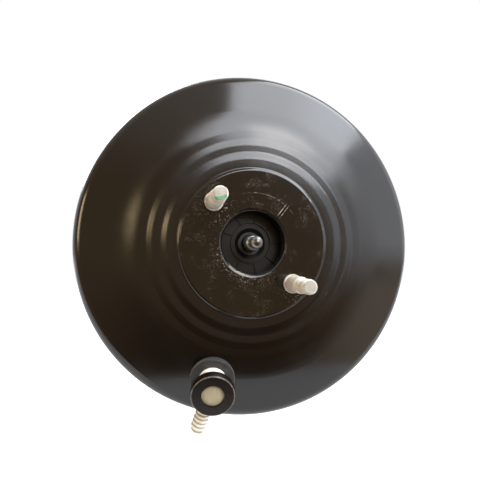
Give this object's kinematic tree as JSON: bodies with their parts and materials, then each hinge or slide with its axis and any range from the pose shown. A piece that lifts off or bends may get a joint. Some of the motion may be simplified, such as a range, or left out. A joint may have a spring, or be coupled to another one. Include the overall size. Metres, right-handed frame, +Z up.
{
  "type": "brake booster",
  "caption": "Round vacuum brake booster: black pressed shell with a boss and studs for the master cylinder, check valve with hose tail, boot and pedal rod.",
  "frame": {"origin": "centre of the firewall mounting face, on the booster's axis", "axes": "+Y back along the pedal rod, towards the driver; +Z up; -Y towards the master cylinder"},
  "size_m": [0.2614, 0.2923, 0.2643],
  "materials": {
    "black_paint": "glossy black stoving paint over pressed steel",
    "zinc_plate": "dull white zinc plating, dusty",
    "plate_steel": "plain pressed steel",
    "spring_steel": "oiled spring wire",
    "phosphated_steel": "dark phosphated steel",
    "black_plastic": "moulded black plastic",
    "cap_plastic": "smooth black plastic",
    "ivory_nylon": "moulded natural nylon, slightly yellowed",
    "black_rubber": "moulded rubber, dusty",
    "felt": "pressed felt",
    "foam": "open-cell foam"
  },
  "bodies": {
    "shell": {"front_shell": "black_paint", "rear_shell": "black_paint", "front_plate": "plate_steel", "rear_plate": "plate_steel", "master_cylinder_studs": "zinc_plate", "firewall_studs": "zinc_plate", "front_guide": "black_plastic", "rod_seal": "black_rubber", "diaphragm": "black_rubber", "return_spring": "spring_steel", "retaining_ring": "plate_steel", "guide_bush": "black_plastic", "hub_seal": "black_rubber", "dust_boot": "black_rubber", "valve_grommet": "black_rubber"},
    "power_piston": {"power_piston": "black_plastic", "support_plate": "plate_steel", "stop_key": "plate_steel", "reaction_disc": "black_rubber", "output_rod": "phosphated_steel", "adjusting_screw": "zinc_plate", "rod_clip": "plate_steel", "poppet_retainer": "plate_steel", "poppet_spring": "spring_steel", "rod_spring": "spring_steel", "air_filter": "felt", "silencer_pad": "foam", "filter_cage": "black_plastic"},
    "valve_plunger": {"valve_plunger": "plate_steel"},
    "pedal_rod": {"pedal_rod": "zinc_plate", "spring_cup": "plate_steel", "lock_nut": "zinc_plate", "clevis": "zinc_plate"},
    "poppet": {"poppet": "black_rubber"},
    "check_valve": {"check_valve_body": "ivory_nylon", "check_valve_cap": "cap_plastic", "check_valve_plug": "ivory_nylon", "disc_spring": "spring_steel"},
    "check_valve_disc": {"check_valve_disc": "black_rubber"}
  },
  "joints": [
    {"name": "piston_slide", "type": "slide", "parent": "shell", "child": "power_piston", "axis": [0, -1, 0], "range_m": [0, 0.03], "stiffness_N_per_m": 1500, "springref_m": -0.02, "deforming": ["return_spring", "diaphragm", "dust_boot"]},
    {"name": "plunger_slide", "type": "slide", "parent": "power_piston", "child": "valve_plunger", "axis": [0, -1, 0], "range_m": [0, 0.0015], "stiffness_N_per_m": 3000, "springref_m": -0.004, "deforming": ["rod_spring", "poppet_spring"]},
    {"name": "poppet_slide", "type": "slide", "parent": "power_piston", "child": "poppet", "axis": [0, -1, 0], "range_m": [0, 0.0008]},
    {"name": "pedal_rod_tilt", "type": "hinge", "parent": "valve_plunger", "child": "pedal_rod", "pos_m": [0, 0.0088, 0], "axis": [1, 0, 0], "range_deg": [-1.5, 1.5], "stiffness_Nm_per_rad": 20},
    {"name": "check_valve_swivel", "type": "hinge", "parent": "shell", "child": "check_valve", "pos_m": [-0.0277, -0.09377, -0.09661], "axis": [-0.076, -0.9613, -0.265], "range_deg": [-30, 30]},
    {"name": "check_disc_lift", "type": "slide", "parent": "check_valve", "child": "check_valve_disc", "axis": [-0.076, -0.9613, -0.265], "range_m": [0, 0.002], "stiffness_N_per_m": 60, "springref_m": -0.003, "deforming": ["disc_spring"]}
  ],
  "couplings": [
    {"joint": "poppet_slide", "follows": "plunger_slide", "ratio": 0.53333}
  ]
}
